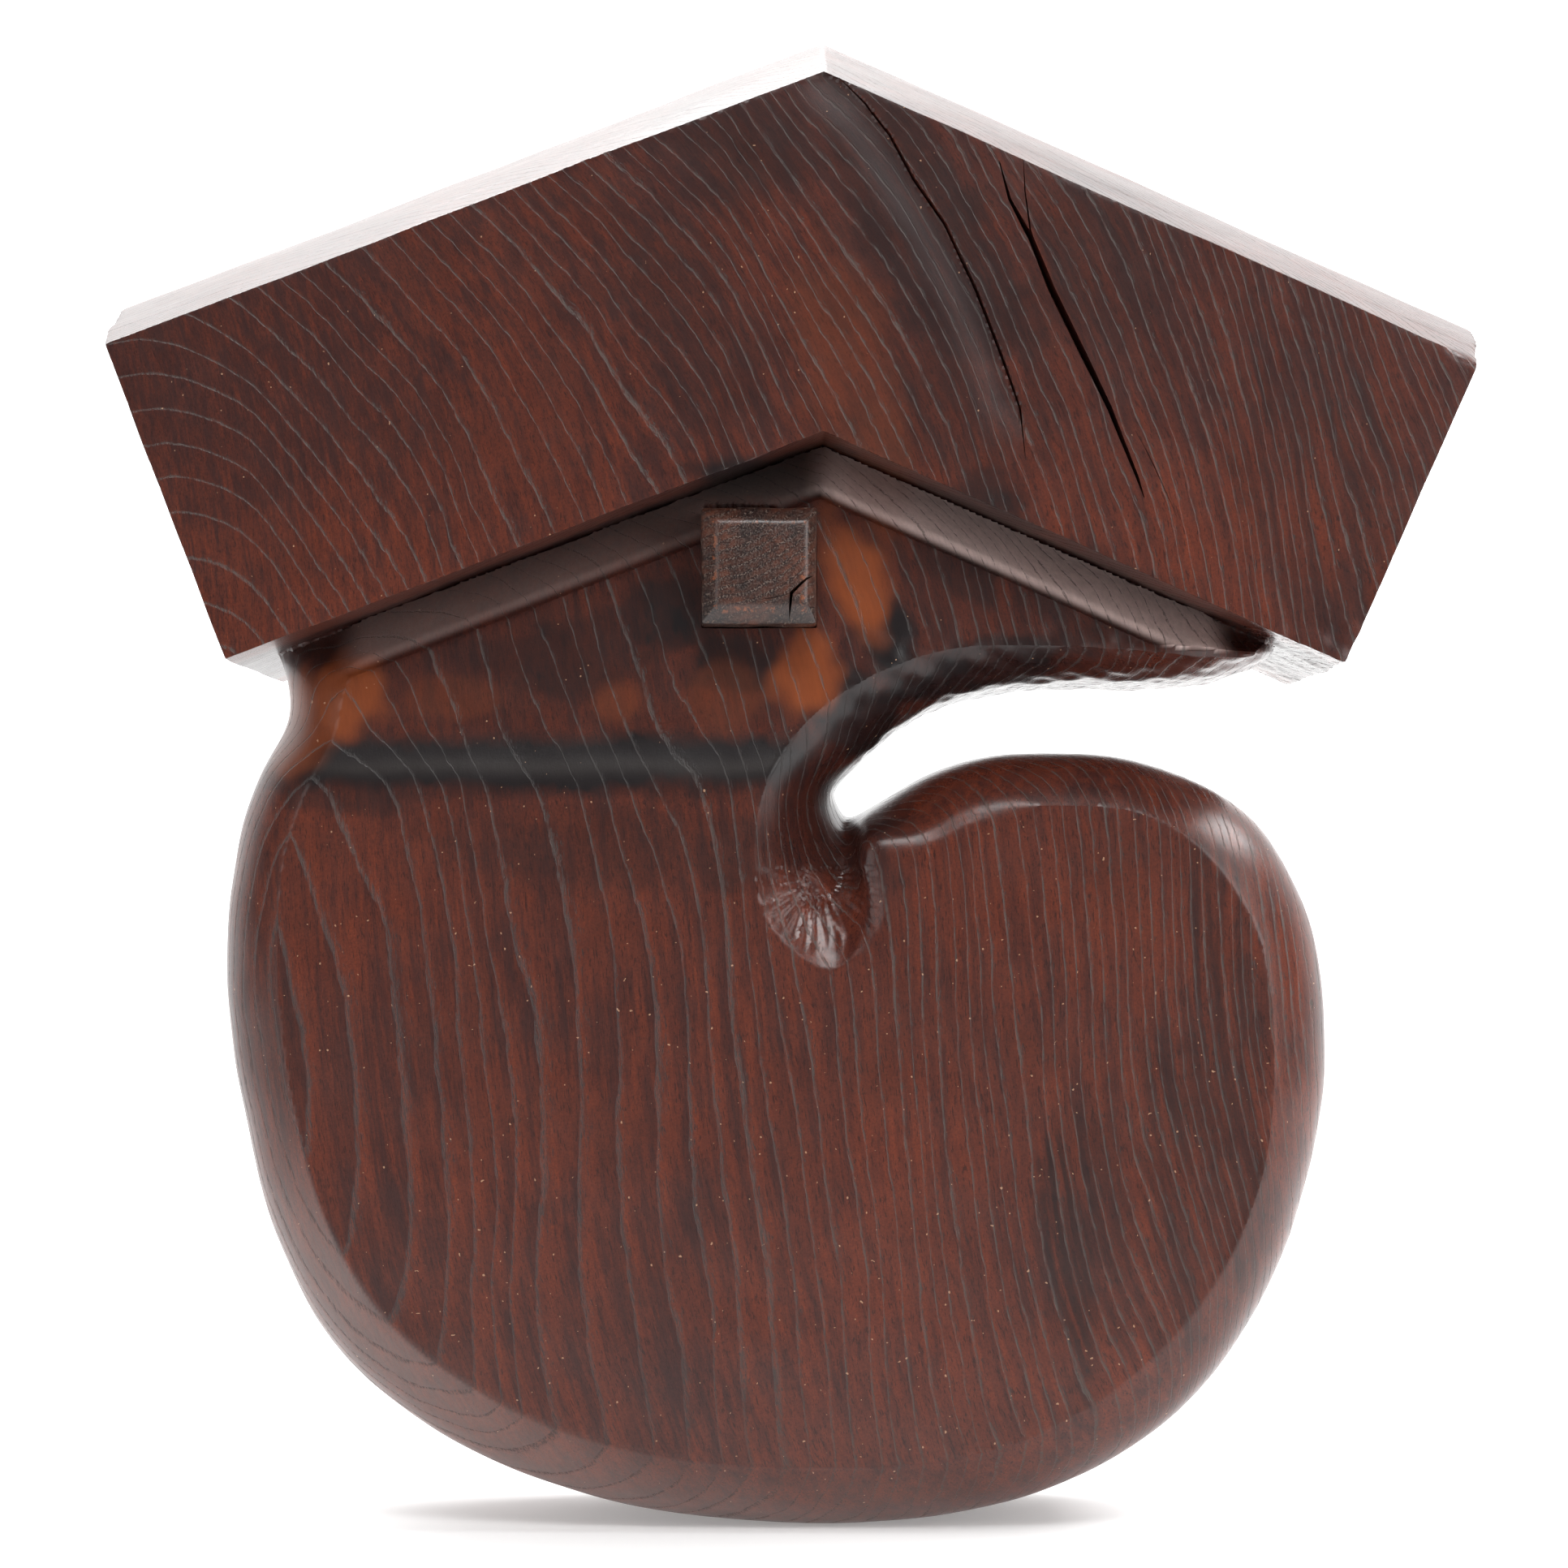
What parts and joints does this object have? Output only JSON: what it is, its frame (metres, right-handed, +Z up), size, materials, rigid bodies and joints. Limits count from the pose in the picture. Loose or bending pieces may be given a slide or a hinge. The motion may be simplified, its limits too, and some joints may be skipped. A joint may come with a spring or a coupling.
{
  "type": "hearth hanger hook",
  "caption": "Heavy carved wooden hanger hook: gabled roof head, rounded comma-shaped hook with an open throat, and a square rope peg through the neck.",
  "frame": {"origin": "centre of the square rope peg, halfway through the neck, which is where the rope sling carries the hook", "axes": "+X towards the open side of the hook, +Y along the peg towards the back face, +Z up towards the ridge"},
  "size_m": [0.4147, 0.16, 0.4501],
  "materials": {
    "block_wood": "hand-polished, smoke-darkened, semi-gloss",
    "peg_wood": "rubbed end grain, smoke-darkened, satin"
  },
  "bodies": {
    "root": {"hook_block": "block_wood", "rope_peg": "peg_wood"}
  },
  "joints": []
}
